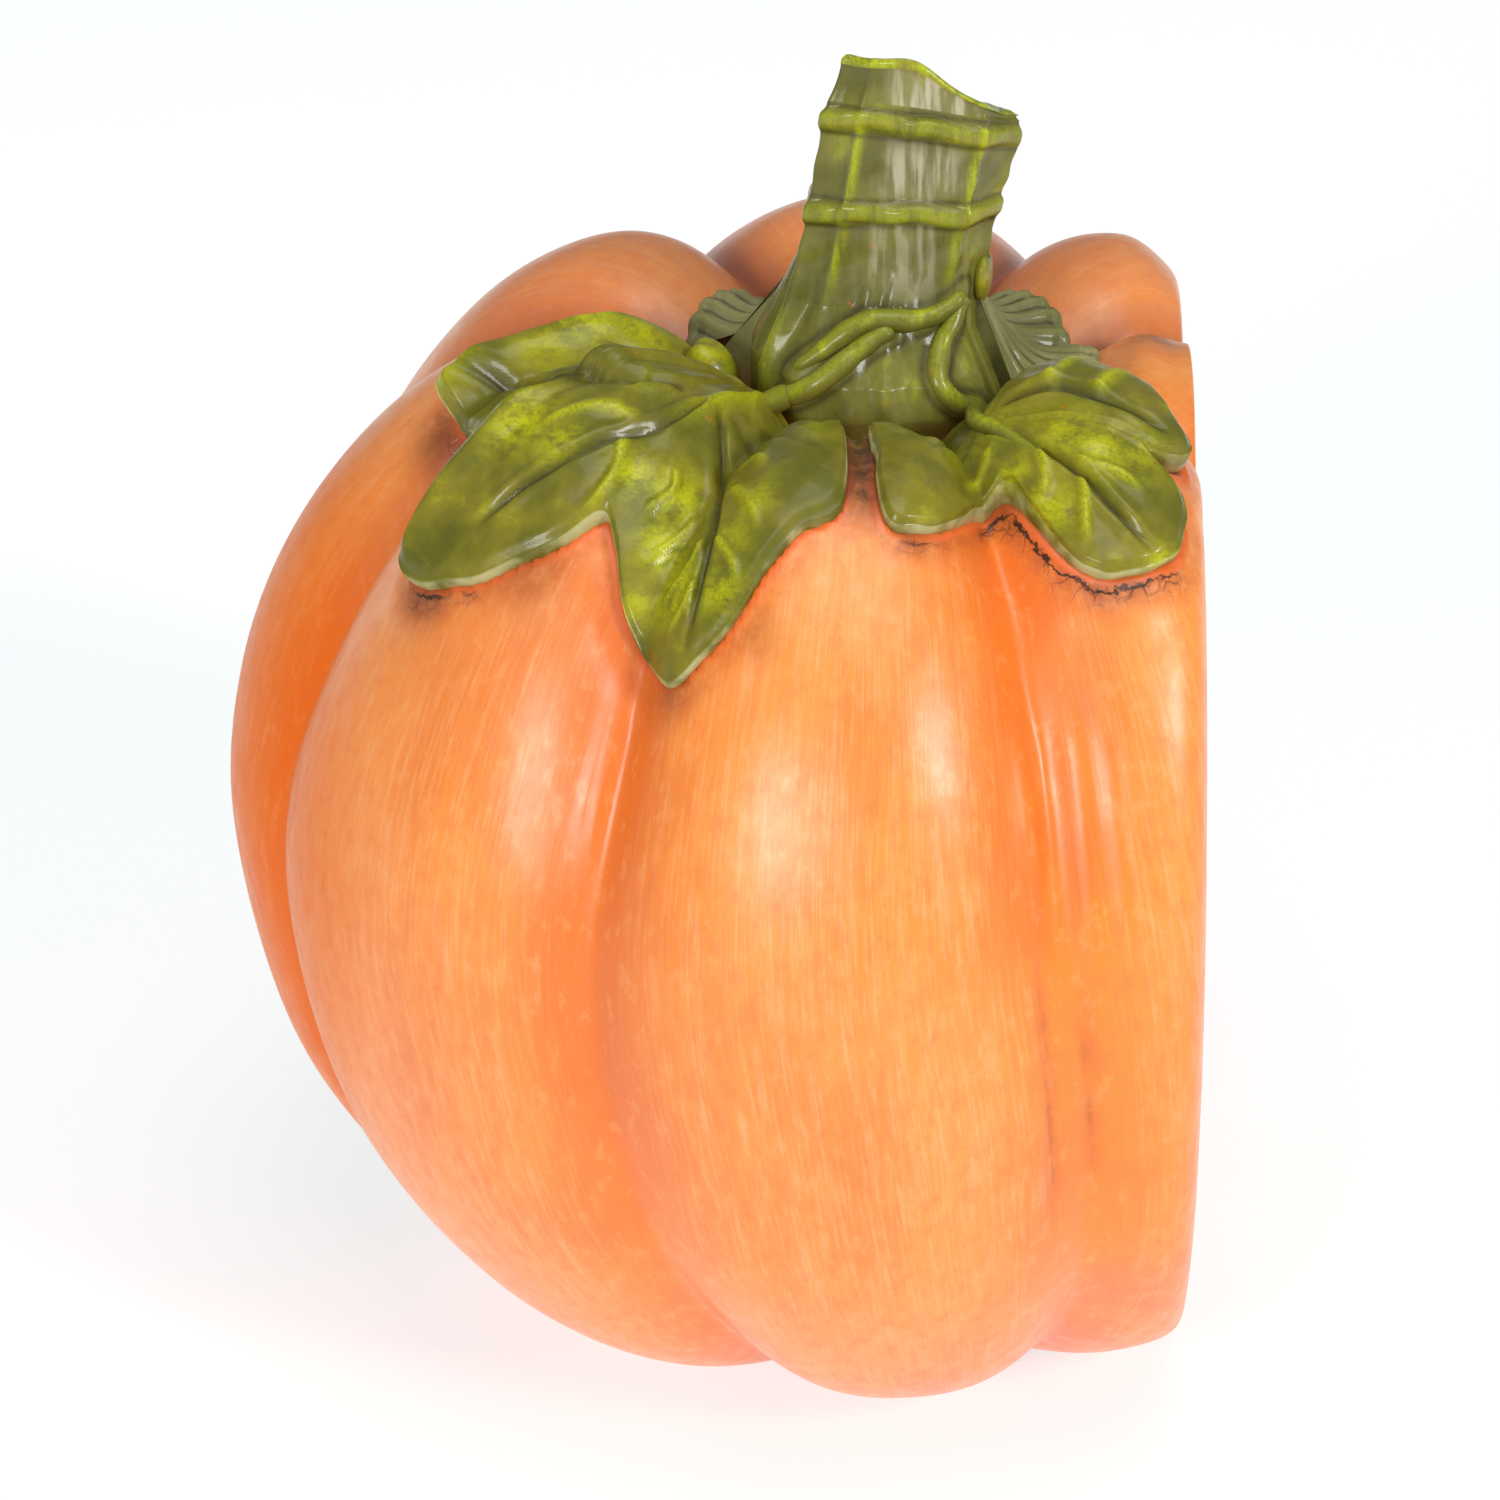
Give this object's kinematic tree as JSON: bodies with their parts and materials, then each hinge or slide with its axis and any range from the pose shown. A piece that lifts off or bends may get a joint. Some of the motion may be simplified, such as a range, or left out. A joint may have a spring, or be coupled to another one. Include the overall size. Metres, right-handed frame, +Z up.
{
  "type": "ceramic pumpkin figure",
  "caption": "Ceramic pumpkin figure with a flat back, a lobed orange shell, a faceted green stem with raised rings, a ribbed calyx, draped leaves and clay strands.",
  "frame": {"origin": "on the base plane, under the stem's axis, where the pumpkin's profile turns", "axes": "+Z up, flat back facing +Y, rounded front facing -Y"},
  "size_m": [0.2785, 0.205, 0.2879],
  "materials": {
    "orange_glaze": "satin",
    "green_glaze": "gloss",
    "dusty_green_glaze": "satin"
  },
  "bodies": {
    "root": {"body_shell": "orange_glaze", "stem": "green_glaze", "calyx": "dusty_green_glaze", "leaf_left": "green_glaze", "leaf_right": "green_glaze", "leaf_curl": "green_glaze", "vine_left": "green_glaze", "vine_right": "green_glaze", "vine_upper": "green_glaze", "bract": "green_glaze"}
  },
  "joints": []
}
